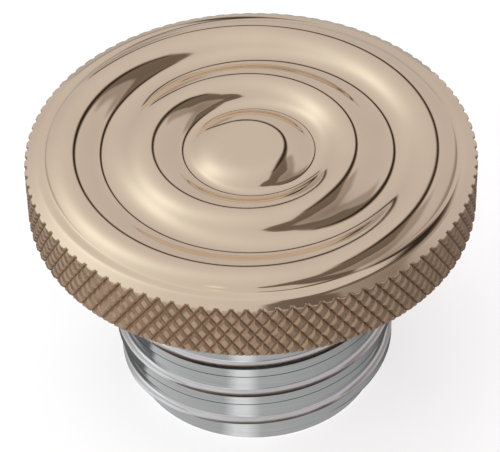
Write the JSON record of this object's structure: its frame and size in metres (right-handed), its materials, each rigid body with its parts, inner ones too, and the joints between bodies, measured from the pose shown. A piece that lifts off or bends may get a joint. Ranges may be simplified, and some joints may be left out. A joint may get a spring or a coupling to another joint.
{
  "type": "motorcycle fuel cap",
  "caption": "Screw-in fuel filler cap with a rippled, knurled brass knob that ratchets on a threaded aluminium plug with a vent valve.",
  "frame": {"origin": "centre of the plug's lower end, where the cap stands when it is set down", "axes": "+Z along the cap's axis, from the plug up through the knob"},
  "size_m": [0.0762, 0.0762, 0.0496],
  "materials": {
    "knob_brass": "mirror-polished top and rim, raw matte knurled grip",
    "plug_aluminium": "bright turned, fine circumferential tool marks",
    "black_rubber": "moulded nitrile rubber, satin",
    "spring_steel": "bright drawn and ground steel",
    "dark_steel": "phosphated, slightly oiled",
    "bronze_bush": "sintered bronze, satin",
    "white_acetal": "turned natural acetal",
    "black_acetal": "moulded black acetal"
  },
  "bodies": {
    "plug": {"threaded_plug": "plug_aluminium", "neck_gasket": "black_rubber", "thrust_ring": "white_acetal", "pivot_bushing": "bronze_bush", "ratchet_ring": "dark_steel", "valve_housing": "black_acetal", "housing_o_ring": "black_rubber", "spring_retainer": "white_acetal", "pressure_spring": "spring_steel", "splash_guard": "spring_steel", "guard_circlip": "dark_steel"},
    "knob": {"knob": "knob_brass", "pawl_carrier": "spring_steel", "carrier_screws": "dark_steel", "shoulder_screw": "dark_steel", "thrust_washer": "spring_steel", "spring_washer": "spring_steel", "pawl_spring_1": "spring_steel", "pawl_spring_2": "spring_steel", "pawl_spring_3": "spring_steel"},
    "pawl_1": {"pawl_1": "dark_steel"},
    "pawl_2": {"pawl_2": "dark_steel"},
    "pawl_3": {"pawl_3": "dark_steel"},
    "pressure_valve": {"pressure_plate": "spring_steel", "pressure_seal": "black_rubber", "vacuum_spring": "spring_steel"},
    "vacuum_valve": {"vacuum_valve": "spring_steel", "vacuum_seal": "black_rubber", "vacuum_clip": "dark_steel"}
  },
  "joints": [
    {"name": "knob_turn", "type": "hinge", "parent": "plug", "child": "knob", "pos_m": [0, 0, 0.033], "axis": [0, 0, 1], "continuous": true},
    {"name": "pawl_1_slide", "type": "slide", "parent": "knob", "child": "pawl_1", "axis": [-1, 0, 0], "range_m": [0, 0.0013], "stiffness_N_per_m": 1500, "springref_m": -0.0008, "deforming": ["pawl_spring_1"]},
    {"name": "pawl_2_slide", "type": "slide", "parent": "knob", "child": "pawl_2", "axis": [0.5, -0.866, 0], "range_m": [0, 0.0013], "stiffness_N_per_m": 1500, "springref_m": -0.0008, "deforming": ["pawl_spring_2"]},
    {"name": "pawl_3_slide", "type": "slide", "parent": "knob", "child": "pawl_3", "axis": [0.5, 0.866, 0], "range_m": [0, 0.0013], "stiffness_N_per_m": 1500, "springref_m": -0.0008, "deforming": ["pawl_spring_3"]},
    {"name": "pressure_valve_lift", "type": "slide", "parent": "plug", "child": "pressure_valve", "axis": [0, 0, 1], "range_m": [0, 0.0025], "stiffness_N_per_m": 500, "springref_m": -0.006, "deforming": ["pressure_spring"]},
    {"name": "vacuum_valve_drop", "type": "slide", "parent": "pressure_valve", "child": "vacuum_valve", "axis": [0, 0, -1], "range_m": [0, 0.0016], "stiffness_N_per_m": 100, "springref_m": -0.002, "deforming": ["vacuum_spring"]}
  ]
}
